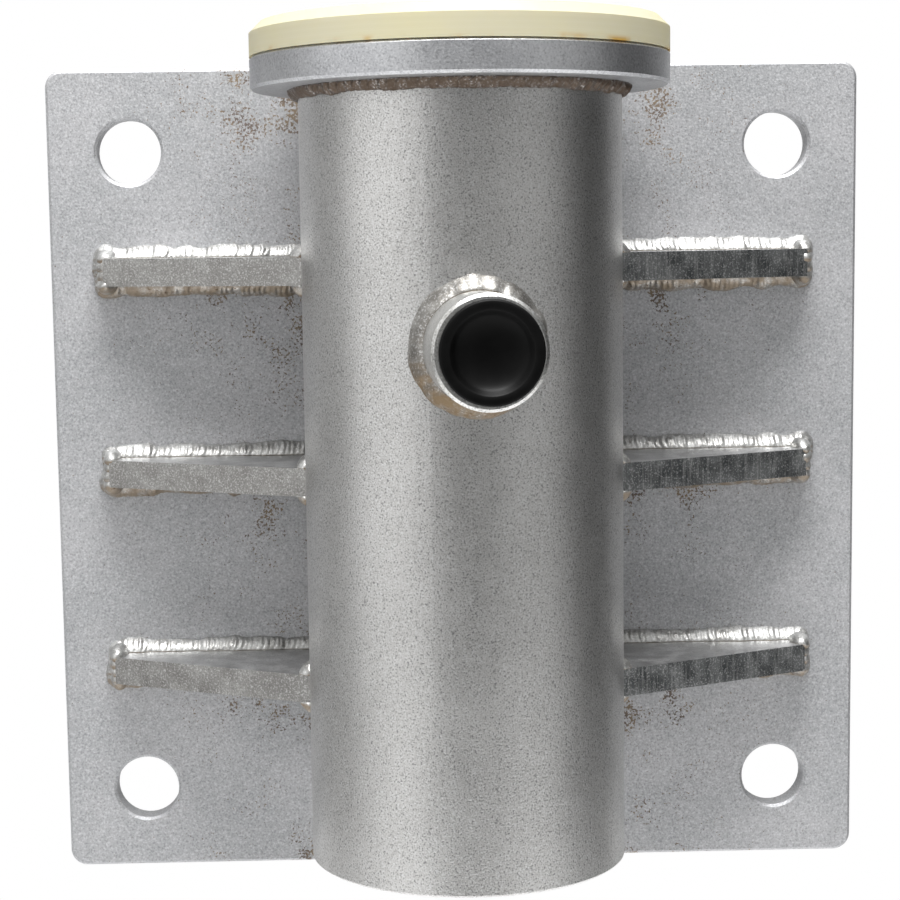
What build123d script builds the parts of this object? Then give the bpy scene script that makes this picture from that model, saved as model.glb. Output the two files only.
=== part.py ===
"""Wall-mounted post socket.

A square base plate carries an upright socket tube, held on each side by three
tapered gussets. A collar ring at the tube's top carries a flanged nylon bush,
a plain nylon bush guides the post's foot, and a short stub pipe on the front
is closed by a plastic plug.

The frame: origin at the centre of the bolt pattern on the plate's wall face,
+X to the right, +Z up along the tube, and the front of the socket facing -Y.
All lengths are in millimetres.
"""

import os
from math import acos, cos, degrees, radians, sin, sqrt

from build123d import *

os.makedirs("parts", exist_ok=True)

# ---------------------------------------------------------------- sizes
# Base plate
plate_width = 240.0
plate_height = 240.0
plate_thickness = 8.0
plate_corner_radius = 5.0
plate_edge_chamfer = 0.8
hole_diameter = 19.0
hole_inset = 24.0
hole_deburr = 0.8

# Socket tube, laid against the plate with its top just under the plate's top edge
tube_diameter = 88.9
tube_wall = 5.0
tube_length = 224.0
tube_top_drop = 1.0
tube_end_chamfer = 0.6

# Collar ring, slipped over the tube and flush with its top
collar_width = 13.05
collar_thickness = 8.8
collar_edge_chamfer = 0.8
collar_back_gap = 28.0

# Nylon bushes
bush_wall = 9.0
bush_flange_thickness = 9.2
bush_flange_chamfer = 2.9
bush_plate_clearance = 0.5
bush_mouth_chamfer = 1.5
upper_bush_depth = 45.0
lower_bush_length = 40.0
lower_bush_recess = 3.0

# Gussets, three on each side of the tube
gusset_thickness = 8.0
gusset_pitch = 59.1
gusset_middle_height = 1.8
gusset_side_margin = 16.6
gusset_end_height = 10.8
gusset_root_setback = 1.4
gusset_edge_chamfer = 0.5

# Stub pipe on the front, and its plug
stub_diameter = 29.4
stub_wall = 2.3
stub_length = 28.6
stub_height = 41.4
stub_turn = 2.8
stub_end_chamfer = 0.8
plug_rim_overhang = 0.8
plug_rim_thickness = 1.8
plug_rim_chamfer = 0.5
plug_dish_margin = 2.8
plug_dish_slope = 4.6
plug_dish_depth = 3.6
plug_floor = 1.6
plug_skirt_length = 12.0
plug_skirt_wall = 1.5
plug_clearance = 0.15

# Welds
gusset_weld_leg = 3.5
collar_weld_leg = 2.6
stub_weld_leg = 4.2
seam_weld_depth = 4.5
seam_weld_root = 1.0
seam_weld_end_gap = 6.0
gusset_toe_clearance = 2.5

# ---------------------------------------------------------------- worked out from the sizes
tube_radius = tube_diameter / 2
tube_bore_radius = tube_radius - tube_wall
plate_front = -plate_thickness
tube_axis_y = plate_front - tube_radius
tube_top = plate_height / 2 - tube_top_drop
tube_bottom = tube_top - tube_length
collar_radius = tube_radius + collar_width
collar_bottom = tube_top - collar_thickness
bush_bore_radius = tube_bore_radius - bush_wall
gusset_reach = plate_width / 2 - gusset_side_margin
gusset_root_height = tube_radius - gusset_root_setback
stub_radius = stub_diameter / 2
stub_bore_radius = stub_radius - stub_wall

tube_axis = Axis((0, tube_axis_y, 0), (0, 0, 1))
wall_plane = Plane.XZ
front_plane = Plane.XZ.offset(plate_thickness)
tube_middle_plane = Plane.XZ.offset(-tube_axis_y)
turn = radians(stub_turn)
stub_plane = Plane(
    origin=(0, tube_axis_y, stub_height),
    x_dir=(cos(turn), sin(turn), 0),
    z_dir=(sin(turn), -cos(turn), 0),
)
stub_section = Plane(
    origin=(0, tube_axis_y, stub_height),
    x_dir=(cos(turn), sin(turn), 0),
    z_dir=(0, 0, -1),
)
stub_axis = Axis(stub_plane.origin, stub_plane.z_dir)


def crevice_reach(depth):
    """Distance from the tube's middle to where tube and plate lie this far apart."""
    return sqrt(tube_radius**2 - (tube_radius - depth) ** 2)


gusset_toe = crevice_reach(seam_weld_depth + gusset_toe_clearance)

# ---------------------------------------------------------------- base plate
with BuildPart() as base_plate:
    with BuildSketch(wall_plane):
        RectangleRounded(plate_width, plate_height, plate_corner_radius)
        with GridLocations(plate_width - 2 * hole_inset, plate_height - 2 * hole_inset, 2, 2):
            Circle(hole_diameter / 2, mode=Mode.SUBTRACT)
    extrude(amount=plate_thickness)
    front_face = base_plate.faces().sort_by(Axis.Y)[0]
    chamfer(front_face.outer_wire().edges(), plate_edge_chamfer)
    front_face = base_plate.faces().sort_by(Axis.Y)[0]
    chamfer([wire.edges() for wire in front_face.inner_wires()], hole_deburr)
base_plate.part.label = "base_plate"
export_step(base_plate.part, "parts/base_plate.step")

# ---------------------------------------------------------------- socket tube
with BuildPart() as socket_tube:
    with BuildSketch(Plane.XY.offset(tube_bottom)):
        with Locations((0, tube_axis_y)):
            Circle(tube_radius)
            Circle(tube_bore_radius, mode=Mode.SUBTRACT)
    extrude(amount=tube_length)
    lower_rim = socket_tube.faces().sort_by(Axis.Z)[0]
    chamfer(lower_rim.edges(), tube_end_chamfer)
    with BuildSketch(stub_plane):
        Circle(stub_bore_radius)
    extrude(amount=tube_diameter, mode=Mode.SUBTRACT)
socket_tube.part.label = "socket_tube"
export_step(socket_tube.part, "parts/socket_tube.step")

# ---------------------------------------------------------------- collar ring
# Cut flat where it meets the plate, and open at the back where the tube touches it.
with BuildPart() as collar_ring:
    with BuildSketch(Plane.XY.offset(collar_bottom)):
        with Locations((0, tube_axis_y)):
            Circle(collar_radius)
            Circle(tube_radius, mode=Mode.SUBTRACT)
            with Locations((0, tube_radius)):
                Rectangle(
                    2 * collar_radius, collar_radius, align=(Align.CENTER, Align.MIN), mode=Mode.SUBTRACT
                )
                Rectangle(
                    collar_back_gap, tube_radius, align=(Align.CENTER, Align.MAX), mode=Mode.SUBTRACT
                )
    extrude(amount=collar_thickness)
    rim_edges = collar_ring.edges().filter_by(GeomType.CIRCLE).filter_by(
        lambda edge: abs(edge.radius - collar_radius) < 0.01
    )
    chamfer(rim_edges, collar_edge_chamfer)
collar_ring.part.label = "collar_ring"
export_step(collar_ring.part, "parts/collar_ring.step")

# ---------------------------------------------------------------- upper bush
# A flanged bush: the flange rests on the collar and carries the post's shoulder.
with BuildPart() as upper_bush:
    with BuildSketch(Plane.XY.offset(tube_top)):
        with Locations((0, tube_axis_y)):
            Circle(collar_radius)
    extrude(amount=bush_flange_thickness)
    chamfer(upper_bush.faces().sort_by(Axis.Z)[-1].edges(), bush_flange_chamfer)
    with BuildSketch(Plane.XY.offset(tube_top)):
        with Locations((0, plate_front - bush_plate_clearance)):
            Rectangle(2 * collar_radius, collar_radius, align=(Align.CENTER, Align.MIN))
    extrude(amount=bush_flange_thickness, mode=Mode.SUBTRACT)
    with BuildSketch(Plane.XY.offset(tube_top)):
        with Locations((0, tube_axis_y)):
            Circle(tube_bore_radius)
    extrude(amount=-upper_bush_depth)
    with BuildSketch(Plane.XY.offset(tube_top - upper_bush_depth)):
        with Locations((0, tube_axis_y)):
            Circle(bush_bore_radius)
    extrude(amount=upper_bush_depth + bush_flange_thickness, mode=Mode.SUBTRACT)
    mouth = upper_bush.faces().sort_by(Axis.Z)[-1].inner_wires()[0].edges()
    chamfer(mouth, bush_mouth_chamfer)
upper_bush.part.label = "upper_bush"
export_step(upper_bush.part, "parts/upper_bush.step")

# ---------------------------------------------------------------- lower bush
with BuildPart() as lower_bush:
    with BuildSketch(Plane.XY.offset(tube_bottom + lower_bush_recess)):
        with Locations((0, tube_axis_y)):
            Circle(tube_bore_radius)
            Circle(bush_bore_radius, mode=Mode.SUBTRACT)
    extrude(amount=lower_bush_length)
    chamfer(lower_bush.faces().sort_by(Axis.Z)[-1].inner_wires()[0].edges(), bush_mouth_chamfer)
lower_bush.part.label = "lower_bush"
export_step(lower_bush.part, "parts/lower_bush.step")

# ---------------------------------------------------------------- stub pipe
# Coped to the tube's curve; its bore lines up with the hole in the tube's wall.
with BuildPart() as stub_pipe:
    with BuildSketch(stub_plane):
        Circle(stub_radius)
    extrude(amount=tube_radius + stub_length)
    outer_rim = stub_pipe.edges().filter_by(GeomType.CIRCLE).sort_by(Axis.Y)[0]
    chamfer(outer_rim, stub_end_chamfer)
    with BuildSketch(stub_plane):
        Circle(stub_bore_radius)
    extrude(amount=tube_radius + stub_length, mode=Mode.SUBTRACT)
    with BuildSketch(Plane.XY.offset(stub_height - stub_diameter)):
        with Locations((0, tube_axis_y)):
            Circle(tube_radius)
    extrude(amount=2 * stub_diameter, mode=Mode.SUBTRACT)
stub_pipe.part.label = "stub_pipe"
export_step(stub_pipe.part, "parts/stub_pipe.step")

# ---------------------------------------------------------------- stub plug
# A dished cap whose rim lies on the pipe's end and whose skirt grips the bore.
stub_end = tube_radius + stub_length
plug_face = stub_end + plug_rim_thickness
plug_radius = stub_bore_radius + plug_rim_overhang
plug_skirt_radius = stub_bore_radius - plug_clearance
plug_dish_radius = plug_radius - plug_dish_margin
plug_floor_radius = plug_dish_radius - plug_dish_slope
plug_dish_floor = plug_face - plug_dish_depth
plug_back = plug_dish_floor - plug_floor

with BuildPart() as stub_plug:
    with BuildSketch(stub_section):
        with BuildLine():
            Polyline(
                (plug_dish_radius, plug_face),
                (plug_radius, plug_face),
                (plug_radius, stub_end),
                (plug_skirt_radius, stub_end),
                (plug_skirt_radius, stub_end - plug_skirt_length),
                (plug_skirt_radius - plug_skirt_wall, stub_end - plug_skirt_length),
                (plug_skirt_radius - plug_skirt_wall, plug_back),
                (0, plug_back),
                (0, plug_dish_floor),
                (plug_floor_radius, plug_dish_floor),
                close=True,
            )
        make_face()
    revolve(axis=stub_axis)
    outer_edge = stub_plug.edges().filter_by(GeomType.CIRCLE).filter_by(
        lambda edge: abs(edge.radius - plug_radius) < 0.01
    ).sort_by(Axis.Y)[0]
    chamfer(outer_edge, plug_rim_chamfer)
stub_plug.part.label = "stub_plug"
export_step(stub_plug.part, "parts/stub_plug.step")

# ---------------------------------------------------------------- gussets and their welds
# Each gusset tapers from the tube's side to its outer end and is coped to the tube. Its weld is three
# runs: one round its foot on the plate, and one above and one below it along the tube.
sides = {"left": -1, "right": 1}
levels = {
    "upper": gusset_middle_height + gusset_pitch,
    "middle": gusset_middle_height,
    "lower": gusset_middle_height - gusset_pitch,
}
root_depth = plate_front - gusset_root_height
toe_angle = degrees(acos(gusset_toe / tube_radius))

for side_name, side in sides.items():
    for level_name, level in levels.items():
        with BuildPart() as gusset:
            with BuildSketch(Plane.XY.offset(level - gusset_thickness / 2)):
                with BuildLine():
                    Polyline(
                        (side * gusset_toe, plate_front),
                        (side * gusset_reach, plate_front),
                        (side * gusset_reach, plate_front - gusset_end_height),
                        (side * tube_radius, root_depth),
                        (side * gusset_toe, root_depth),
                        close=True,
                    )
                make_face()
                with Locations((0, tube_axis_y)):
                    Circle(tube_radius, mode=Mode.SUBTRACT)
            extrude(amount=gusset_thickness)
            front_edge_face = gusset.faces().sort_by(Axis.Y)[0]
            chamfer(front_edge_face.edges().filter_by(Axis.Z, reverse=True), gusset_edge_chamfer)
        gusset_name = f"gusset_{side_name}_{level_name}"
        gusset.part.label = gusset_name
        export_step(gusset.part, f"parts/{gusset_name}.step")

        weld_name = f"weld_{side_name}_{level_name}"
        with BuildPart() as gusset_weld:
            with BuildSketch(Plane.XY.offset(level - gusset_thickness / 2 - gusset_weld_leg)):
                with BuildLine():
                    Polyline(
                        (side * (gusset_toe - gusset_weld_leg), plate_front),
                        (side * (gusset_reach + gusset_weld_leg), plate_front),
                        (side * gusset_reach, plate_front - gusset_weld_leg),
                        (side * gusset_toe, plate_front - gusset_weld_leg),
                        close=True,
                    )
                make_face()
            extrude(amount=gusset_thickness + 2 * gusset_weld_leg)
            with BuildSketch(Plane.YZ):
                with BuildLine():
                    Polyline(
                        (plate_front, level - gusset_thickness / 2 - gusset_weld_leg),
                        (plate_front - gusset_weld_leg, level - gusset_thickness / 2),
                        (plate_front - gusset_weld_leg, level + gusset_thickness / 2),
                        (plate_front, level + gusset_thickness / 2 + gusset_weld_leg),
                        close=True,
                    )
                make_face()
            extrude(amount=side * plate_width / 2, mode=Mode.INTERSECT)
            for face in (-1, 1):
                corner = level + face * gusset_thickness / 2
                with BuildSketch(tube_middle_plane):
                    with BuildLine():
                        Polyline(
                            (side * tube_radius, corner),
                            (side * (tube_radius + gusset_weld_leg), corner),
                            (side * tube_radius, corner + face * gusset_weld_leg),
                            close=True,
                        )
                    make_face()
                revolve(axis=tube_axis, revolution_arc=side * toe_angle)
            add(gusset.part, mode=Mode.SUBTRACT)
        gusset_weld.part.label = weld_name
        export_step(gusset_weld.part, f"parts/{weld_name}.step")

# ---------------------------------------------------------------- welds on the tube
# Seam welds fill the narrow crevice on each side of the line where the tube lies on the plate.
seam_top = collar_bottom - seam_weld_end_gap
seam_bottom = tube_bottom + seam_weld_end_gap
with BuildPart() as seam_welds:
    with BuildSketch(Plane.XY.offset(seam_bottom)):
        for side in (-1, 1):
            with BuildLine():
                Polyline(
                    (side * crevice_reach(seam_weld_root), plate_front),
                    (side * crevice_reach(seam_weld_depth), plate_front),
                    (side * crevice_reach(seam_weld_depth), plate_front - seam_weld_depth),
                    (side * crevice_reach(seam_weld_root), plate_front - seam_weld_depth),
                    close=True,
                )
            make_face()
        with Locations((0, tube_axis_y)):
            Circle(tube_radius, mode=Mode.SUBTRACT)
    extrude(amount=seam_top - seam_bottom)

# The collar weld runs round the tube under the collar, as far as the collar does.
with BuildPart() as collar_weld:
    with BuildSketch(tube_middle_plane):
        with BuildLine():
            Polyline(
                (tube_radius, collar_bottom),
                (tube_radius + collar_weld_leg, collar_bottom),
                (tube_radius, collar_bottom - collar_weld_leg),
                close=True,
            )
        make_face()
    revolve(axis=tube_axis)
    with BuildSketch(Plane.XY.offset(collar_bottom)):
        with Locations((0, plate_front)):
            Rectangle(2 * collar_radius, collar_radius, align=(Align.CENTER, Align.MIN))
            Rectangle(collar_back_gap, tube_radius, align=(Align.CENTER, Align.MAX))
    extrude(amount=-collar_weld_leg, mode=Mode.SUBTRACT)

# The corner between stub and tube is filled evenly all round, so this weld follows the saddle line.
with BuildPart() as stub_weld:
    with BuildSketch(Plane.XY.offset(stub_height - stub_diameter)):
        with Locations((0, tube_axis_y)):
            Circle(tube_radius)
    extrude(amount=2 * stub_diameter)
    with BuildSketch(stub_plane):
        Circle(stub_radius)
    extrude(amount=tube_radius + stub_length)
    saddle_line = stub_weld.edges().filter_by(
        lambda edge: edge.geom_type not in (GeomType.LINE, GeomType.CIRCLE)
    )
    chamfer(saddle_line, stub_weld_leg)
    with BuildSketch(stub_plane):
        Circle(stub_radius)
    extrude(amount=tube_radius + stub_length, mode=Mode.SUBTRACT)
    with BuildSketch(Plane.XY.offset(stub_height - stub_diameter)):
        with Locations((0, tube_axis_y)):
            Circle(tube_radius)
    extrude(amount=2 * stub_diameter, mode=Mode.SUBTRACT)

with BuildPart() as tube_welds:
    add([seam_welds.part, collar_weld.part, stub_weld.part])
tube_welds.part.label = "tube_welds"
export_step(tube_welds.part, "parts/tube_welds.step")
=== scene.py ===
import math
import random

import bmesh
import bpy
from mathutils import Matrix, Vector
from mathutils.noise import noise as noise_at


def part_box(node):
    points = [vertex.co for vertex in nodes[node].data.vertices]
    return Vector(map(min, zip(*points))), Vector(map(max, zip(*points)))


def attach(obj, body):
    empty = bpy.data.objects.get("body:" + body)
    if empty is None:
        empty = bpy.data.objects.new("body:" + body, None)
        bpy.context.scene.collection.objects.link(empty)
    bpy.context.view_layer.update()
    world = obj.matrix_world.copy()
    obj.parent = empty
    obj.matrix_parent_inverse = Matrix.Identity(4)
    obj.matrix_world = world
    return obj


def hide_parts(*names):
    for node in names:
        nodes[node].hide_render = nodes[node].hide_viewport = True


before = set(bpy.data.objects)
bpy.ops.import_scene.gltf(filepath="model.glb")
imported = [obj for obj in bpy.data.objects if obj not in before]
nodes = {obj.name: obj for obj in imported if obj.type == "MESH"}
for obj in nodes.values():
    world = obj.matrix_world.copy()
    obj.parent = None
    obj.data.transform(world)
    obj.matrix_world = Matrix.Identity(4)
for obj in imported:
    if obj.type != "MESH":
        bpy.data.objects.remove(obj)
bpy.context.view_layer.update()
print("solids in the frame:", len(nodes))

# %% [markdown]
# A wall-mounted post socket: a square base plate, an upright tube held by six tapered
# gussets, a collar ring with a flanged nylon bush, and a short stub pipe closed by a black
# plastic plug. The steel is welded, blasted with shot and then zinc plated.
#
# The measured solids already have the right size and place, so every position below is read
# from them. This script adds what the solids leave out: weld beads with their ripples, the
# dished plug, the finish of each material, the studio and the camera.

# %% Read the main sizes
MM = 0.001

plate_low, plate_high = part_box("base_plate")
tube_low, tube_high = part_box("socket_tube")
collar_low, collar_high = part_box("collar_ring")
plate_front = plate_low.y
tube_radius = (tube_high.x - tube_low.x) / 2
tube_axis = Vector((0, plate_front - tube_radius, 0))
print("plate", [round(side / MM, 1) for side in plate_high - plate_low], "mm")
print("tube radius", round(tube_radius / MM, 2), "axis y", round(tube_axis.y / MM, 2))

# %% [markdown]
# Every finish is built from nodes. One helper adds a node, sets it up, joins it to the others
# and hands back its output, so that a finish reads from top to bottom. A second turns the
# colour that an eye or a paint chart gives, an sRGB hex value, into the linear numbers that
# the renderer adds up. A third turns a real size in millimetres into a pattern's scale,
# because the patterns count repeats in a metre.
#
# Two nodes are used again and again. Map Range stretches a pattern: input 0 is the pattern, 1
# and 2 are where it starts and stops, and 3 and 4 what it gives there. Mix lays one colour over
# another: 0 is how much, and 6 and 7 are the two colours.

# %% Helpers for materials
SMOOTH = {"interpolation_type": "SMOOTHSTEP"}
COLOURS = {"output": 2, "data_type": "RGBA"}


def colour(hex_value):
    channels = [int(hex_value[i:i + 2], 16) / 255 for i in (1, 3, 5)]
    linear = [c / 12.92 if c <= 0.04045 else ((c + 0.055) / 1.055) ** 2.4 for c in channels]
    return (*linear, 1.0)


def repeats(size_mm):
    return 1 / (size_mm * MM)


def add(tree, kind, sockets, output=0, **settings):
    """Adds a node. A socket is given a number, a colour or another node's output."""
    made = tree.nodes.new("ShaderNode" + kind)
    for name, value in settings.items():
        setattr(made, name, value)
    for name, value in sockets.items():
        if isinstance(value, bpy.types.NodeSocket):
            tree.links.new(value, made.inputs[name])
        else:
            made.inputs[name].default_value = value
    return made.outputs[output]


def start_material(name):
    """A new material, its node tree, its shader and the piece's own coordinates."""
    made = bpy.data.materials.new(name)
    made.use_nodes = True
    tree = made.node_tree
    return made, tree, tree.nodes["Principled BSDF"], add(tree, "TexCoord", {}, "Object")


# %% [markdown]
# Damp gathers on the plate beside the tube, and most of all under a gusset, where rain doesn't
# wash and air doesn't dry. There the zinc has let through fine brown specks of rust. The three
# gussets of a side are evenly spaced, so wrapping the height round their pitch gives how far a
# point lies above the gusset below it, and so how near it is to the one above.

# %% Where rust shows
gusset_low, gusset_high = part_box("gusset_left_middle")
gusset_level = (gusset_low.z + gusset_high.z) / 2
gusset_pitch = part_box("gusset_left_upper")[0].z - gusset_low.z
print("gusset pitch", round(gusset_pitch / MM, 2), "mm")


def rust_specks(tree, place):
    """How rusty each point is, from 0 to 1: specks that crowd near the tube and the gussets."""
    across = add(tree, "Math", {0: add(tree, "SeparateXYZ", {"Vector": place}, "X")},
                 operation="ABSOLUTE")
    near = add(tree, "MapRange", {0: across, 1: tube_radius + 72 * MM, 2: tube_radius - 6 * MM},
               **SMOOTH)
    lift = add(tree, "Math", {0: add(tree, "SeparateXYZ", {"Vector": place}, "Z"),
                              1: gusset_level}, operation="SUBTRACT")
    above = add(tree, "Math", {0: lift, 1: gusset_pitch, 2: 0.0}, operation="WRAP")
    under = add(tree, "MapRange", {0: above, 1: gusset_pitch - 34 * MM,
                                   2: gusset_pitch - 9 * MM, 3: 0.5, 4: 1.0}, **SMOOTH)
    damp = add(tree, "Math", {0: near, 1: under}, operation="MULTIPLY")
    groups = add(tree, "TexNoise", {"Vector": place, "Scale": repeats(11), "Detail": 4.0,
                                    "Roughness": 0.65})
    groups = add(tree, "MapRange", {0: groups, 1: 0.42, 2: 0.66}, **SMOOTH)
    where = add(tree, "Math", {0: damp, 1: groups}, operation="MULTIPLY")
    # a speck shows where a fine pattern rises over a bar, and damp lowers the bar
    specks = add(tree, "TexNoise", {"Vector": place, "Scale": repeats(0.8), "Detail": 2.0,
                                    "Roughness": 0.6})
    lowered = add(tree, "Math", {0: where, 1: 0.28}, operation="MULTIPLY")
    bar = add(tree, "Math", {0: 0.68, 1: lowered}, operation="SUBTRACT")
    over = add(tree, "Math", {0: specks, 1: bar}, operation="SUBTRACT")
    return add(tree, "MapRange", {0: over, 1: -0.01, 2: 0.06, 4: 0.85}, **SMOOTH)


# %% [markdown]
# Zinc plating over shot-blasted steel is a metal with a fine, sparkling grain: each dent left
# by the shot tilts the surface a little. The real dents are about 0.2 mm wide, too fine to
# show, so they are drawn about half a millimetre wide, in both colour and bump. Wider, fainter
# clouds come from the plating bath. The blasted plate scatters light more widely than the pipes
# do, so its shader is a little less than fully metallic and rougher.

# %% Zinc-plated steel
def zinc_steel(name, light, dark, roughness, grain=0.6, sparkle=0.6, metallic=1.0, rusts=False):
    made, tree, shader, place = start_material(name)
    grains = add(tree, "TexNoise", {"Vector": place, "Scale": repeats(grain), "Detail": 1.0,
                                    "Roughness": 0.6})
    clouds = add(tree, "TexNoise", {"Vector": place, "Scale": repeats(26), "Detail": 4.0,
                                    "Roughness": 0.55})
    patches = add(tree, "TexNoise", {"Vector": place, "Scale": repeats(5), "Detail": 3.0,
                                     "Roughness": 0.6})
    cloudy = add(tree, "MapRange", {0: clouds, 1: 0.3, 2: 0.7}, **SMOOTH)
    base = add(tree, "Mix", {0: cloudy, 6: colour(dark), 7: colour(light)}, **COLOURS)
    patchy = add(tree, "MapRange", {0: patches, 1: 0.3, 2: 0.7, 4: 0.22}, **SMOOTH)
    base = add(tree, "Mix", {0: patchy, 6: base, 7: colour(dark)}, **COLOURS)
    bright = add(tree, "MapRange", {0: grains, 1: 0.5, 2: 0.74, 4: 0.55 * sparkle}, **SMOOTH)
    base = add(tree, "Mix", {0: bright, 6: base, 7: colour("#f4f5f6")}, **COLOURS)
    deep = add(tree, "MapRange", {0: grains, 1: 0.46, 2: 0.28, 4: 0.55 * sparkle}, **SMOOTH)
    base = add(tree, "Mix", {0: deep, 6: base, 7: colour("#5f6063")}, **COLOURS)
    dull = add(tree, "MapRange", {0: patches, 1: 0.3, 2: 0.7, 3: roughness - 0.015,
                                  4: roughness + 0.02}, **SMOOTH)
    if rusts:
        rusty = rust_specks(tree, place)
        hue = add(tree, "MapRange", {0: patches, 1: 0.35, 2: 0.65}, **SMOOTH)
        brown = add(tree, "Mix", {0: hue, 6: colour("#4f3a28"), 7: colour("#7c6748")}, **COLOURS)
        base = add(tree, "Mix", {0: rusty, 6: base, 7: brown}, **COLOURS)
        bare = add(tree, "Math", {0: 1.0, 1: rusty}, operation="SUBTRACT")
        metal = add(tree, "Math", {0: bare, 1: metallic}, operation="MULTIPLY")
        tree.links.new(metal, shader.inputs["Metallic"])
        rougher = add(tree, "Math", {0: rusty, 1: 0.3}, operation="MULTIPLY")
        dull = add(tree, "Math", {0: dull, 1: rougher}, operation="ADD")
    else:
        shader.inputs["Metallic"].default_value = metallic
    tree.links.new(base, shader.inputs["Base Color"])
    tree.links.new(dull, shader.inputs["Roughness"])
    bump = add(tree, "Bump", {"Strength": 0.55, "Distance": 0.12 * MM, "Height": grains})
    tree.links.new(bump, shader.inputs["Normal"])
    return made


plate_zinc = zinc_steel("zinc_plated_blasted_plate", "#c1c1c3", "#b5b6b8", 0.6,
                        metallic=0.8, rusts=True)
tube_zinc = zinc_steel("zinc_plated_blasted_tube", "#dad9d7", "#cdccca", 0.36, grain=0.45,
                       sparkle=1.2)
stub_zinc = zinc_steel("zinc_plated_stub_pipe", "#dcdcda", "#bdbcb8", 0.36, sparkle=1.0)
collar_zinc = zinc_steel("zinc_plated_turned_collar", "#cfd0d2", "#b8b9bc", 0.42)
print("zinc-plated steel: plate, tube, stub pipe and collar")

# %% [markdown]
# The gussets are cut from plate with a flame or a laser. Their wide faces are blasted and
# plated like the rest, but the cut edges keep fine straight marks across the thickness, drawn
# by a noise that is squeezed to run up and down. The edge is told from the faces by its
# direction, so one material does for the whole gusset. It comes in two copies of the same
# steel with its light painted in. The left edges are painted paler, a painted reflection of
# the bright side of the room, and the right ones darker, a painted reflection of its dark side.
# The right edges were also cut more coarsely, so their marks show more.

# %% Gusset steel
def gusset_steel(name, edge_light, edge_dark, marks):
    made, tree, shader, place = start_material(name)
    grains = add(tree, "TexNoise", {"Vector": place, "Scale": repeats(0.5), "Detail": 1.0,
                                    "Roughness": 0.6})
    patches = add(tree, "TexNoise", {"Vector": place, "Scale": repeats(6), "Detail": 3.0,
                                     "Roughness": 0.5})
    squeezed = add(tree, "Mapping", {"Vector": place, "Scale": (1, 1, 0.06)})
    lines = add(tree, "TexNoise", {"Vector": squeezed, "Scale": repeats(0.8), "Detail": 3.0,
                                   "Roughness": 0.7})
    patchy = add(tree, "MapRange", {0: patches, 1: 0.3, 2: 0.7}, **SMOOTH)
    face = add(tree, "Mix", {0: patchy, 6: colour("#bcbcbc"), 7: colour("#d8d8d8")}, **COLOURS)
    edge = add(tree, "Mix", {0: patchy, 6: colour(edge_dark), 7: colour(edge_light)}, **COLOURS)
    drawn = add(tree, "MapRange", {0: lines, 1: 0.45, 2: 0.75, 4: marks}, **SMOOTH)
    edge = add(tree, "Mix", {0: drawn, 6: edge, 7: colour("#e6e6e4")}, **COLOURS)
    bright = add(tree, "MapRange", {0: grains, 1: 0.52, 2: 0.72, 4: 0.5}, **SMOOTH)
    edge = add(tree, "Mix", {0: bright, 6: edge, 7: colour("#e9e9e9")}, **COLOURS)
    facing = add(tree, "NewGeometry", {}, "True Normal")
    upright = add(tree, "Math", {0: add(tree, "SeparateXYZ", {"Vector": facing}, "Z")},
                  operation="ABSOLUTE")
    is_face = add(tree, "MapRange", {0: upright, 1: 0.55, 2: 0.85}, **SMOOTH)
    base = add(tree, "Mix", {0: is_face, 6: edge, 7: face}, **COLOURS)
    deep = add(tree, "MapRange", {0: grains, 1: 0.46, 2: 0.3, 4: 0.4}, **SMOOTH)
    base = add(tree, "Mix", {0: deep, 6: base, 7: colour("#6a6a6c")}, **COLOURS)
    dull = add(tree, "MapRange", {0: patches, 1: 0.3, 2: 0.7, 3: 0.34, 4: 0.46}, **SMOOTH)
    height = add(tree, "Mix", {0: is_face, 6: lines, 7: grains}, **COLOURS)
    bump = add(tree, "Bump", {"Strength": 0.5, "Distance": 0.12 * MM, "Height": height})
    shader.inputs["Metallic"].default_value = 1.0
    tree.links.new(base, shader.inputs["Base Color"])
    tree.links.new(dull, shader.inputs["Roughness"])
    tree.links.new(bump, shader.inputs["Normal"])
    return made


# the same cut steel twice: the left copy is painted lighter and the right copy darker, painted
# reflections of the bright and the dark side of the room
edge_steel_painted_light = gusset_steel("cut_plate_painted_light_reflection", "#a3a29f", "#918f8c", 0.1)
edge_steel_painted_shade = gusset_steel("cut_plate_painted_dark_reflection", "#8b8d8d", "#5d6061", 0.35)
print("gusset steel: pale edges on the left, dark ones on the right")

# %% [markdown]
# The bushes are turned from cast nylon, a cream plastic that lets a little light in. Turning
# leaves rings a fraction of a millimetre apart, drawn here 0.9 mm apart so that they show. They
# come from the distance to the tube's axis and from the height, so they run round the bush on
# its side and on its top. Dirt has settled in the line where the flange sits on the collar.

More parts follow.
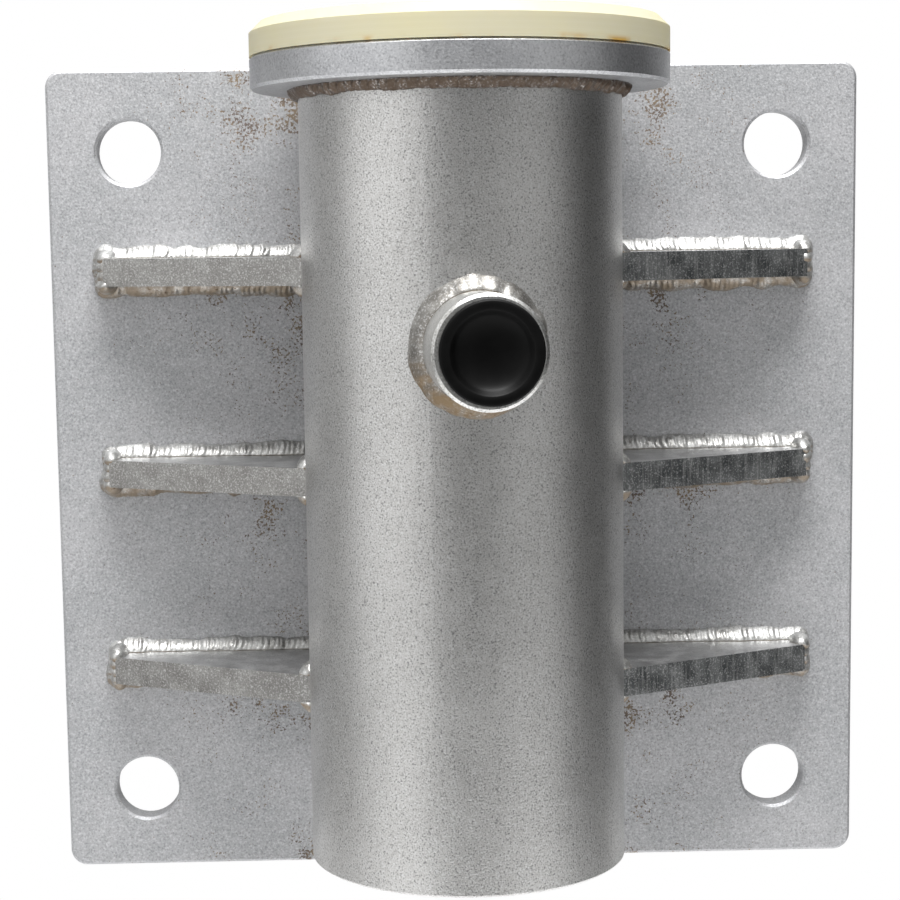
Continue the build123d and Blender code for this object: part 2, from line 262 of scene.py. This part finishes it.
# %% Turned nylon
def turned_nylon():
    made, tree, shader, place = start_material("turned_cast_nylon")
    centred = add(tree, "Mapping", {"Vector": place, "Location": (0, -tube_axis.y, 0)})
    height = add(tree, "SeparateXYZ", {"Vector": centred}, "Z")
    flat = add(tree, "CombineXYZ", {"X": add(tree, "SeparateXYZ", {"Vector": centred}, "X"),
                                    "Y": add(tree, "SeparateXYZ", {"Vector": centred}, "Y")})
    radius = add(tree, "VectorMath", {0: flat}, "Value", operation="LENGTH")
    along = add(tree, "Math", {0: radius, 1: height}, operation="ADD")
    rings = add(tree, "TexNoise", {"W": along, "Scale": repeats(0.9), "Detail": 2.0},
                noise_dimensions="1D")
    clouds = add(tree, "TexNoise", {"Vector": place, "Scale": repeats(30), "Detail": 3.0})
    cloudy = add(tree, "MapRange", {0: clouds, 1: 0.35, 2: 0.65}, **SMOOTH)
    base = add(tree, "Mix", {0: cloudy, 6: colour("#c3bea5"), 7: colour("#c6c09f")}, **COLOURS)
    ringed = add(tree, "MapRange", {0: rings, 1: 0.35, 2: 0.65, 4: 0.25}, **SMOOTH)
    base = add(tree, "Mix", {0: ringed, 6: base, 7: colour("#bcb591")}, **COLOURS)
    low = add(tree, "MapRange", {0: height, 1: collar_high.z + 1.6 * MM, 2: collar_high.z},
              **SMOOTH)
    stains = add(tree, "TexNoise", {"Vector": place, "Scale": repeats(14), "Detail": 3.0})
    stains = add(tree, "MapRange", {0: stains, 1: 0.5, 2: 0.66}, **SMOOTH)
    dirt = add(tree, "Math", {0: low, 1: stains}, operation="MULTIPLY")
    base = add(tree, "Mix", {0: dirt, 6: base, 7: colour("#b58f45")}, **COLOURS)
    flecks = add(tree, "TexNoise", {"Vector": place, "Scale": repeats(2.2), "Detail": 2.0})
    flecks = add(tree, "MapRange", {0: flecks, 1: 0.78, 2: 0.82, 4: 0.7}, **SMOOTH)
    base = add(tree, "Mix", {0: flecks, 6: base, 7: colour("#8d7a56")}, **COLOURS)
    dull = add(tree, "MapRange", {0: clouds, 1: 0.3, 2: 0.7, 3: 0.42, 4: 0.52}, **SMOOTH)
    bump = add(tree, "Bump", {"Strength": 0.3, "Distance": 0.05 * MM, "Height": rings})
    shader.inputs["IOR"].default_value = 1.53
    shader.inputs["Subsurface Weight"].default_value = 0.25
    shader.inputs["Subsurface Radius"].default_value = (1.0, 0.8, 0.5)
    shader.inputs["Subsurface Scale"].default_value = 3 * MM
    tree.links.new(base, shader.inputs["Base Color"])
    tree.links.new(dull, shader.inputs["Roughness"])
    tree.links.new(bump, shader.inputs["Normal"])
    return made


nylon = turned_nylon()
print("turned nylon for both bushes")

# %% [markdown]
# The plug is moulded from black polyethylene: almost black, with a soft waxy gloss and a very
# fine texture left by the mould.

# %% Moulded black plastic
def moulded_plastic():
    made, tree, shader, place = start_material("moulded_black_polyethylene")
    texture = add(tree, "TexNoise", {"Vector": place, "Scale": repeats(0.4), "Detail": 2.0})
    clouds = add(tree, "TexNoise", {"Vector": place, "Scale": repeats(8), "Detail": 3.0})
    cloudy = add(tree, "MapRange", {0: clouds, 1: 0.35, 2: 0.65}, **SMOOTH)
    base = add(tree, "Mix", {0: cloudy, 6: colour("#020202"), 7: colour("#050505")}, **COLOURS)
    dull = add(tree, "MapRange", {0: clouds, 1: 0.3, 2: 0.7, 3: 0.42, 4: 0.5}, **SMOOTH)
    bump = add(tree, "Bump", {"Strength": 0.15, "Distance": 0.05 * MM, "Height": texture})
    shader.inputs["IOR"].default_value = 1.51
    shader.inputs["Specular IOR Level"].default_value = 0.13
    tree.links.new(base, shader.inputs["Base Color"])
    tree.links.new(dull, shader.inputs["Roughness"])
    tree.links.new(bump, shader.inputs["Normal"])
    return made


black_plastic = moulded_plastic()
print("moulded black plastic for the plug")

# %% [markdown]
# A weld bead is steel that was melted and froze in overlapping scales, each about a
# millimetre and a half along. Zinc takes to it brightly. Its scales follow the bead, so the
# material reads the bead's own UV map: U is the length along it and V the way across. The side
# that faces down is darker and browner, partly a stain where it keeps wet longest and partly
# painted shade, and it is specked with rust.

# %% Weld metal
def weld_metal(name, light, dark, stain_and_shade_colour, stain_and_shade_strength):
    made, tree, shader, place = start_material(name)
    bead = add(tree, "TexCoord", {}, "UV")
    scales = add(tree, "TexNoise", {"Vector": bead, "Scale": repeats(1.6), "Detail": 2.0})
    grains = add(tree, "TexNoise", {"Vector": place, "Scale": repeats(0.6), "Detail": 2.0,
                                    "Roughness": 0.6})
    patches = add(tree, "TexNoise", {"Vector": place, "Scale": repeats(3.5), "Detail": 3.0})
    patchy = add(tree, "MapRange", {0: patches, 1: 0.3, 2: 0.7}, **SMOOTH)
    base = add(tree, "Mix", {0: patchy, 6: colour(dark), 7: colour(light)}, **COLOURS)
    bright = add(tree, "MapRange", {0: grains, 1: 0.5, 2: 0.7, 4: 0.5}, **SMOOTH)
    base = add(tree, "Mix", {0: bright, 6: base, 7: colour("#ffffff")}, **COLOURS)
    # the side that faces down is painted darker and browner: a brown stain mixed with painted
    # shade
    facing = add(tree, "NewGeometry", {}, "Normal")
    down_stain_and_shade = add(tree, "MapRange", {0: add(tree, "SeparateXYZ", {"Vector": facing}, "Z"),
                                  1: 0.15, 2: -0.45}, **SMOOTH)
    uneven = add(tree, "MapRange", {0: patches, 1: 0.3, 2: 0.6, 3: 0.3, 4: 1.0}, **SMOOTH)
    marks = add(tree, "Math", {0: down_stain_and_shade, 1: uneven}, operation="MULTIPLY")
    stain_and_shade = add(tree, "Math", {0: marks, 1: stain_and_shade_strength}, operation="MULTIPLY")
    base = add(tree, "Mix", {0: stain_and_shade, 6: base, 7: colour(stain_and_shade_colour)}, **COLOURS)
    specks = add(tree, "TexNoise", {"Vector": place, "Scale": repeats(1.6), "Detail": 4.0,
                                    "Roughness": 0.7})
    specks = add(tree, "MapRange", {0: specks, 1: 0.6, 2: 0.68, 4: 0.8}, **SMOOTH)
    specks = add(tree, "Math", {0: specks, 1: down_stain_and_shade}, operation="MULTIPLY")
    base = add(tree, "Mix", {0: specks, 6: base, 7: colour("#5b4126")}, **COLOURS)
    covered = add(tree, "Math", {0: marks, 1: 0.5}, operation="MULTIPLY")
    metal = add(tree, "Math", {0: 0.9, 1: covered}, operation="SUBTRACT")
    dull = add(tree, "MapRange", {0: patches, 1: 0.3, 2: 0.7, 3: 0.34, 4: 0.5}, **SMOOTH)
    finer = add(tree, "Math", {0: grains, 1: 0.4}, operation="MULTIPLY")
    height = add(tree, "Math", {0: scales, 1: finer}, operation="ADD")
    bump = add(tree, "Bump", {"Strength": 0.5, "Distance": 0.3 * MM, "Height": height})
    tree.links.new(base, shader.inputs["Base Color"])
    tree.links.new(metal, shader.inputs["Metallic"])
    tree.links.new(dull, shader.inputs["Roughness"])
    tree.links.new(bump, shader.inputs["Normal"])
    return made


bright_weld = weld_metal("zinc_plated_weld_bead", "#cbcbc9", "#a3a29f", "#7d6a50", 0.85)
# the bead under the collar: a darker, browner copy of the weld metal, a brown stain with painted
# shade
stain_and_shade_weld = weld_metal("weld_bead_stain_and_painted_shade", "#7d736c", "#584f49", "#51402f", 0.9)
stub_weld = weld_metal("zinc_plated_pipe_weld", "#a3a19d", "#85827d", "#7a6340", 0.9)
print("weld metal: bright, stained and round the stub pipe")

# %% [markdown]
# The plate, the pipes, the collar, the bushes and the gussets keep their measured solids. Each
# only gets its finish, through the material slots of its object.

# %% Dress the measured solids
sides = (("left", -1), ("right", 1))
levels = ("upper", "middle", "lower")
finishes = {
    "base_plate": plate_zinc, "socket_tube": tube_zinc, "collar_ring": collar_zinc,
    "stub_pipe": stub_zinc, "upper_bush": nylon, "lower_bush": nylon,
}
for level in levels:
    finishes[f"gusset_left_{level}"] = edge_steel_painted_light
    finishes[f"gusset_right_{level}"] = edge_steel_painted_shade
for node_name, finish in finishes.items():
    for slot in nodes[node_name].material_slots:
        slot.material = finish
    print(node_name, "is", finish.name)

# %% [markdown]
# The welder's hand isn't even, so a bead's size wanders along its length. A smooth random line
# does that: it takes a new value at each step and eases from one to the next.

# %% A wandering line
def wander(seed, length, every):
    """A smooth random line from -1 to 1 along a length, with a new value at each step."""
    dice = random.Random(seed)
    values = [dice.uniform(-1, 1) for _ in range(int(length / every) + 3)]

    def at(s):
        step, share = divmod(max(s, 0) / every, 1)
        share = share * share * (3 - 2 * share)
        first = values[min(int(step), len(values) - 1)]
        second = values[min(int(step) + 1, len(values) - 1)]
        return first + (second - first) * share

    return at


# %% [markdown]
# A weld bead starts as a flat strip of mesh. Its length is rolled out along the corner that
# the bead fills, and its width is folded round into a closed rounded triangle: two legs lie
# against the two parts, and the third side bulges out. Short scales overlap along the bead, and
# its legs grow and shrink over a longer stretch. Both are moved into the mesh itself, so they
# catch the light from any side. A bump in the material alone would leave a smooth outline.

# %% Lay a weld bead
bead_step = 0.45 * MM       # length of one row of faces along a bead
bead_rows = 14              # faces across it
crown_share = 0.8           # how much of the strip's width is the bulging side
bead_sink = 0.25 * MM       # how far its hidden side lies inside the parts
fullness = 1.35             # more than 1 flattens the crown
end_taper = 2.5 * MM        # a run swells to its full size over this length


def lay_bead(form, route, length, legs, seed, scale=1.6 * MM, ripple=0.12, lump=0.18,
             closed=False):
    """Adds a bead to form. route(s) gives the corner and the directions of its two legs."""
    rows = max(int(length / bead_step), 8)
    grid = bmesh.ops.create_grid(form, x_segments=rows, y_segments=bead_rows, size=0.5)
    broad, slow = wander(seed, length, 5 * MM), wander(seed + 1, length, 2.2 * MM)
    shift = wander(seed + 2, length, 3 * MM)
    strip = {vert: ((vert.co.x + 0.5) * length, vert.co.y + 0.5) for vert in grid["verts"]}
    for vert, (s, width) in strip.items():
        corner, leg_a, leg_b = route(min(max(s, 0), length))
        size = 1 + lump * broad(s) + 0.5 * lump * slow(s)
        if not closed:
            size *= min(1, 0.35 + min(s, length - s) / end_taper)
        if width <= crown_share:
            turn = width / crown_share * math.pi / 2
            curve = 4 * (width / crown_share) * (1 - width / crown_share)
            phase = (s + shift(s) * 0.4 * MM + curve * 1.1 * MM) / scale
            bulge = 1 + ripple * curve * (0.5 - (phase % 1)) * 1.4
            a, b = math.cos(turn) ** fullness * bulge, math.sin(turn) ** fullness * bulge
        else:
            back = (width - crown_share) / (1 - crown_share)
            a, b = max(back * 2 - 1, 0), max(1 - back * 2, 0)
        vert.co = corner + leg_a * (legs[0] * size * a) + leg_b * (legs[1] * size * b)
        if width > crown_share or width < 0.001:
            vert.co -= (leg_a + leg_b).normalized() * bead_sink
    uv = form.loops.layers.uv.verify()
    for face in {face for vert in strip for face in vert.link_faces}:
        face.smooth = True
        for loop in face.loops:
            s, width = strip[loop.vert]
            loop[uv].uv = (s, width * 0.6 * sum(legs))


# %% [markdown]
# A finished bead is closed at its ends and along its hidden seam, its faces are turned
# outwards, and it takes the place of the smooth weld solid that stood for it.

# %% Finish a piece
def make_object(form, name, material):
    """Turns a bmesh into an object with one material."""
    mesh = bpy.data.meshes.new(name)
    form.to_mesh(mesh)
    form.free()
    mesh.materials.append(material)
    made = bpy.data.objects.new(name, mesh)
    bpy.context.scene.collection.objects.link(made)
    print(name, "faces", len(mesh.polygons))
    return made


def finish_bead(form, name, material, replaced):
    """Closes the beads in form, turns their faces outwards and makes them a piece."""
    bmesh.ops.remove_doubles(form, verts=form.verts, dist=0.004 * MM)
    open_edges = [edge for edge in form.edges if edge.is_boundary]
    bmesh.ops.holes_fill(form, edges=open_edges, sides=0)
    bmesh.ops.recalc_face_normals(form, faces=form.faces)
    piece = make_object(form, name, material)
    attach(piece, "root")
    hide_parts(replaced)


# %% [markdown]
# Each gusset is welded in three runs. One starts by the tube, goes out along the foot, turns
# round the gusset's end and comes back below. The other two follow the curve of the tube,
# above and below the gusset. A route tells, for any length s along a run, where the corner is
# and which way the bead's two legs point.

# %% The routes of a gusset's welds
foot_turn = 3.2 * MM        # length of the bead that turns round each corner of the end


def foot_route(side, start, end, top, bottom):
    """Out along the top of the foot, round the end and back: the route and its length."""
    out, up, lift = Vector((side, 0, 0)), Vector((0, 0, 1)), Vector((0, -1, 0))
    runs = (end - start, foot_turn, top - bottom, foot_turn, end - start)

    def route(s):
        if s < runs[0]:
            return Vector((side * (start + s), plate_front, top)), up, lift
        s -= runs[0]
        if s < runs[1]:
            angle = s / foot_turn * math.pi / 2
            way = out * math.sin(angle) + up * math.cos(angle)
            return Vector((side * end, plate_front, top)), way, lift
        s -= runs[1]
        if s < runs[2]:
            return Vector((side * end, plate_front, top - s)), out, lift
        s -= runs[2]
        if s < runs[3]:
            angle = s / foot_turn * math.pi / 2
            way = out * math.cos(angle) - up * math.sin(angle)
            return Vector((side * end, plate_front, bottom)), way, lift
        s -= runs[3]
        return Vector((side * (end - s), plate_front, bottom)), -up, lift

    return route, sum(runs)


def tube_route(side, height, way, first, last):
    """Along the tube's curve beside a gusset, from one angle to another."""
    def route(s):
        angle = first + s / tube_radius
        away = Vector((side * math.sin(angle), math.cos(angle), 0))
        return tube_axis + away * tube_radius + Vector((0, 0, height)), Vector((0, 0, way)), away

    return route, (last - first) * tube_radius


# %% [markdown]
# Where the foot's bead turns round the gusset's end, the welder stayed longer and the metal
# piled up in lumps. Four balls stand on each other up the end. Each is swelled here and there
# by a noise, and squeezed to a lump of its own size.

# %% Lumps at a gusset's end
def add_end_lumps(form, side, outer, bottom, top, seed):
    dice = random.Random(seed)
    uv = form.loops.layers.uv.verify()
    for share in (0.02, 0.36, 0.68, 1.0):
        lump = bmesh.ops.create_icosphere(form, subdivisions=3, radius=1.0)["verts"]
        middle = Vector((side * (outer - 0.6 * MM), plate_front - dice.uniform(4.6, 5.6) * MM,
                         bottom + (top - bottom) * share))
        half = Vector((dice.uniform(2.6, 3.3), dice.uniform(5.4, 6.2), dice.uniform(2.6, 3.2)))
        half *= MM
        for vert in lump:
            swell = 1 + 0.12 * noise_at(vert.co * 1.6 + Vector((seed, share * 9, 0)))
            vert.co = middle + Vector(a * b * swell for a, b in zip(vert.co, half))
        for face in {face for vert in lump for face in vert.link_faces}:
            face.smooth = True
            for loop in face.loops:
                loop[uv].uv = (loop.vert.co.z, loop.vert.co.x + loop.vert.co.y)


# %% Weld the gussets
foot_leg, tube_leg = 3.7 * MM, 3.0 * MM
seed = 11
for side_name, side in sides:
    for level in levels:
        low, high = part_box(f"gusset_{side_name}_{level}")
        inner, outer = sorted((abs(low.x), abs(high.x)))
        form = bmesh.new()
        route, length = foot_route(side, inner, outer, high.z, low.z)
        lay_bead(form, route, length, (foot_leg, foot_leg), seed)
        first = math.asin(inner / tube_radius)
        last = math.acos((low.y - tube_axis.y) / tube_radius)
        for height, way in ((high.z, 1), (low.z, -1)):
            route, length = tube_route(side, height, way, first, last)
            lay_bead(form, route, length, (tube_leg, tube_leg), seed + 3 + way)
        add_end_lumps(form, side, outer, low.z, high.z, seed)
        finish_bead(form, f"weld_bead_{side_name}_{level}", bright_weld,
                    f"weld_{side_name}_{level}")
        seed += 10

# %% [markdown]
# The collar weld runs round the tube just under the collar. It stops short of the plate, which
# the torch couldn't reach behind. It is the darkest and brownest weld: a brown stain where rain
# stands under the collar, and painted shade where the collar hangs over it.

# %% Weld the collar
collar_reach = math.radians(122)


def collar_route(s):
    angle = s / tube_radius - collar_reach
    away = Vector((math.sin(angle), -math.cos(angle), 0))
    corner = tube_axis + away * tube_radius + Vector((0, 0, collar_low.z))
    return corner, Vector((0, 0, -1)), away


form = bmesh.new()
lay_bead(form, collar_route, 2 * collar_reach * tube_radius, (2.9 * MM, 2.7 * MM), 101,
         scale=2.6 * MM, ripple=0.2, lump=0.12)
finish_bead(form, "collar_weld_bead", stain_and_shade_weld, "tube_welds")

# %% [markdown]
# The stub weld follows the saddle line where the two pipes meet. Each of its points is found on
# the tube's skin, at its place beside and above the stub's axis, and a second point a little
# further out gives the slope of the skin, along which the outer leg lies.

# %% Weld the stub
stub_low, stub_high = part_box("stub_pipe")
plug_low, plug_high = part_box("stub_plug")
stub_height = (stub_low.z + stub_high.z) / 2
stub_radius = (stub_high.z - stub_low.z) / 2
plug_middle = (plug_low + plug_high) / 2
stub_way = Vector((plug_middle.x, plug_middle.y - tube_axis.y, 0)).normalized()
stub_side = Vector((-stub_way.y, stub_way.x, 0))
print("stub radius", round(stub_radius / MM, 2), "turn",
      round(math.degrees(math.atan2(stub_way.x, -stub_way.y)), 2))


def on_tube(aside, up):
    """The point of the tube's skin at a distance aside of and above the stub's axis."""
    depth = math.sqrt(tube_radius ** 2 - aside ** 2)
    return tube_axis + stub_side * aside + stub_way * depth + Vector((0, 0, stub_height + up))


def stub_route(s):
    angle = s / stub_radius
    cos, sin = math.cos(angle), math.sin(angle)
    corner = on_tube(stub_radius * cos, stub_radius * sin)
    toe = on_tube((stub_radius + 1 * MM) * cos, (stub_radius + 1 * MM) * sin)
    return corner, (toe - corner).normalized(), stub_way


form = bmesh.new()
lay_bead(form, stub_route, 2 * math.pi * stub_radius, (4.0 * MM, 4.4 * MM), 131,
         scale=3.1 * MM, ripple=0.03, lump=0.12, closed=True)
finish_bead(form, "stub_weld_bead", stub_weld, "tube_welds")

# %% [markdown]
# Behind the tube, a seam weld on each side fills the crevice between tube and plate. It stops
# short of the tube's ends.

# %% Weld the seams
seam_margin = 6 * MM        # bare length at each end
seam_aside, seam_depth = 14 * MM, 1.2 * MM
seam_low = tube_low.z + seam_margin
seam_length = collar_low.z - seam_margin - seam_low
form = bmesh.new()
for side_name, side in sides:
    def seam_route(s, side=side):
        corner = Vector((side * seam_aside, plate_front - seam_depth, seam_low + s))
        return corner, Vector((side, 0.2, 0)).normalized(), Vector((side, -0.5, 0)).normalized()

    lay_bead(form, seam_route, seam_length, (5.2 * MM, 6.0 * MM), 151 + side)
finish_bead(form, "seam_weld_beads", bright_weld, "tube_welds")

# %% [markdown]
# The plug is turned about the stub's axis: half of its outline is drawn once and spun. Its
# face is a shallow round dish, the lip is a narrow flat ring, and the edges are softened by
# short extra steps in the outline. Its skirt goes 12 mm into the pipe.

# %% Turn the plug
plug_radius = (plug_high.z - plug_low.z) / 2
# the plug's box is that of a tilted disc: its rim reaches past the middle of its face
reach = tube_axis.y - plug_low.y
plug_face = (reach - plug_radius * abs(stub_way.x)) / abs(stub_way.y)
lip_height, skirt_length, skirt_gap, skirt_wall = 1.8 * MM, 12 * MM, 1.0 * MM, 1.5 * MM
stub_end = plug_face - lip_height
dish_radius, dish_depth, soft = plug_radius - 2.8 * MM, 3.6 * MM, 0.35 * MM
dish_back, dish_steps, dish_fullness = plug_face - 5.2 * MM, 13, 2.4
skirt_outer, skirt_end = plug_radius - skirt_gap, stub_end - skirt_length
outline = [(0, plug_face - dish_depth)]
for i in range(1, dish_steps):
    share = i / dish_steps
    rise = dish_depth * math.sqrt(1 - share ** dish_fullness)
    outline.append((dish_radius * share, plug_face - rise))
outline += [
    (dish_radius, plug_face - 0.25 * MM), (dish_radius + soft, plug_face),
    (plug_radius - soft * 1.6, plug_face), (plug_radius - soft * 0.45, plug_face - soft * 0.45),
    (plug_radius, plug_face - soft * 1.6), (plug_radius, stub_end),
    (skirt_outer, stub_end), (skirt_outer, skirt_end), (skirt_outer - skirt_wall, skirt_end),
    (skirt_outer - skirt_wall, dish_back), (0, dish_back),
]
form = bmesh.new()
centre = tube_axis + Vector((0, 0, stub_height))
line = [form.verts.new(centre + stub_way * out + Vector((0, 0, r))) for r, out in outline]
edges = [form.edges.new(pair) for pair in zip(line, line[1:])]
bmesh.ops.spin(form, geom=line + edges, cent=centre, axis=stub_way, angle=2 * math.pi,
               steps=72, use_merge=True)
bmesh.ops.remove_doubles(form, verts=form.verts, dist=0.01 * MM)
bmesh.ops.recalc_face_normals(form, faces=form.faces)
for face in form.faces:
    face.smooth = True
plug = make_object(form, "dished_plug", black_plastic)
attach(plug, "root")
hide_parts("stub_plug")
print("plug face", round(plug_face / MM, 2), "mm in front of the tube's axis")

# %% [markdown]
# The socket hangs on a wall, so the floor lies well below it: a plain pale sheet, lightly
# uneven in tone.

# %% Floor
def pale_floor():
    made, tree, shader, place = start_material("matt_white_floor")
    tone = add(tree, "TexNoise", {"Vector": place, "Scale": repeats(200), "Detail": 2.0})
    base = add(tree, "Mix", {0: tone, 6: colour("#f6f6f6"), 7: colour("#ffffff")}, **COLOURS)
    tree.links.new(base, shader.inputs["Base Color"])
    shader.inputs["Roughness"].default_value = 0.9
    return made


floor_drop, floor_half = 0.38, 1.0
form = bmesh.new()
bmesh.ops.create_grid(form, x_segments=1, y_segments=1, size=floor_half)
bmesh.ops.translate(form, verts=form.verts, vec=(0, 0, plate_low.z - floor_drop))
make_object(form, "floor", pale_floor())

# %% [markdown]
# Metal shows its surroundings, so the room matters as much as the lamps. It is a soft grey,
# brighter overhead. The far right stays dark, and the tube mirrors it as the dark band near its
# right edge. The low part behind the camera is dim too, and gives the tube its darker middle.
# Seen straight on, the room is plain white.

# %% Room
def studio_room():
    world = bpy.data.worlds.new("grey_room")
    world.use_nodes = True
    tree = world.node_tree
    way = add(tree, "TexCoord", {}, "Generated")
    x, y, z = (add(tree, "SeparateXYZ", {"Vector": way}, axis) for axis in "XYZ")
    upper = add(tree, "MapRange", {0: z, 1: -0.3, 2: 0.9, 3: 0.27, 4: 0.7}, **SMOOTH)
    right = add(tree, "MapRange", {0: x, 1: 0.55, 2: 0.95, 3: 1.0, 4: 0.12}, **SMOOTH)
    rear = add(tree, "MapRange", {0: y, 1: -0.45, 2: -0.1}, **SMOOTH)
    front = add(tree, "MapRange", {0: rear, 1: 0.0, 2: 1.0, 3: 1.0, 4: 0.0}, **SMOOTH)
    side = add(tree, "Math", {0: right, 1: front}, operation="MAXIMUM")
    ahead = add(tree, "MapRange", {0: y, 1: -0.8, 2: -0.98}, **SMOOTH)
    low = add(tree, "MapRange", {0: z, 1: 0.25, 2: 0.0}, **SMOOTH)
    camera_side = add(tree, "Math", {0: ahead, 1: low}, operation="MULTIPLY")
    dimmed = add(tree, "Math", {0: camera_side, 1: 0.62}, operation="MULTIPLY")
    left = add(tree, "Math", {0: 1.0, 1: dimmed}, operation="SUBTRACT")
    level = add(tree, "Math", {0: upper, 1: side}, operation="MULTIPLY")
    level = add(tree, "Math", {0: level, 1: left}, operation="MULTIPLY")
    seen = add(tree, "LightPath", {}, "Is Camera Ray")
    strength = add(tree, "Math", {0: seen, 1: level}, operation="MAXIMUM")
    shader = tree.nodes["Background"]
    shader.inputs["Color"].default_value = (1, 1, 1, 1)
    tree.links.new(strength, shader.inputs["Strength"])
    bpy.context.scene.world = world


studio_room()
print("grey room, bright overhead and dark at the right")

# %% [markdown]
# Two soft lights do the rest. The one overhead throws the soft shadows below the gussets, and
# the large one on the left fills them a little.

# %% Lights
def softbox(name, place, size, power):
    light = bpy.data.lights.new(name, "AREA")
    light.shape, light.size, light.size_y = "RECTANGLE", size[0], size[1]
    light.energy = power
    lamp = bpy.data.objects.new(name, light)
    lamp.location = place
    aim = Vector((0, -0.05, 0)) - Vector(place)
    lamp.rotation_euler = aim.to_track_quat("-Z", "Y").to_euler()
    bpy.context.scene.collection.objects.link(lamp)
    print(name, power, "W")


softbox("overhead_softbox", (0.0, -0.5, 1.25), (0.8, 0.5), 32)
softbox("left_softbox", (-1.5, -1.0, 0.5), (2.0, 2.0), 8)
bpy.context.scene.view_settings.view_transform = "Standard"

# %% [markdown]
# The camera stands a little left of the middle and a little above it, two thirds of a metre
# away, with a lens long enough to keep the plate's edges nearly straight.

# %% Camera
camera_data = bpy.data.cameras.new("camera")
camera_data.sensor_width = 36
camera_data.lens = 85.2397
camera_data.shift_x, camera_data.shift_y = 0.035, 0.0522
camera = bpy.data.objects.new("camera", camera_data)
camera.location = (-0.026891, -0.646601, 0.069197)
camera.rotation_euler = [math.radians(angle) for angle in (83.1134, 0.8349, -1.448)]
bpy.context.scene.collection.objects.link(camera)
bpy.context.scene.camera = camera
print("camera", round(camera_data.lens, 1), "mm lens")

# %% [markdown]
# Last, the scene is brought up to date.

# %% Bring the scene up to date
bpy.context.view_layer.update()
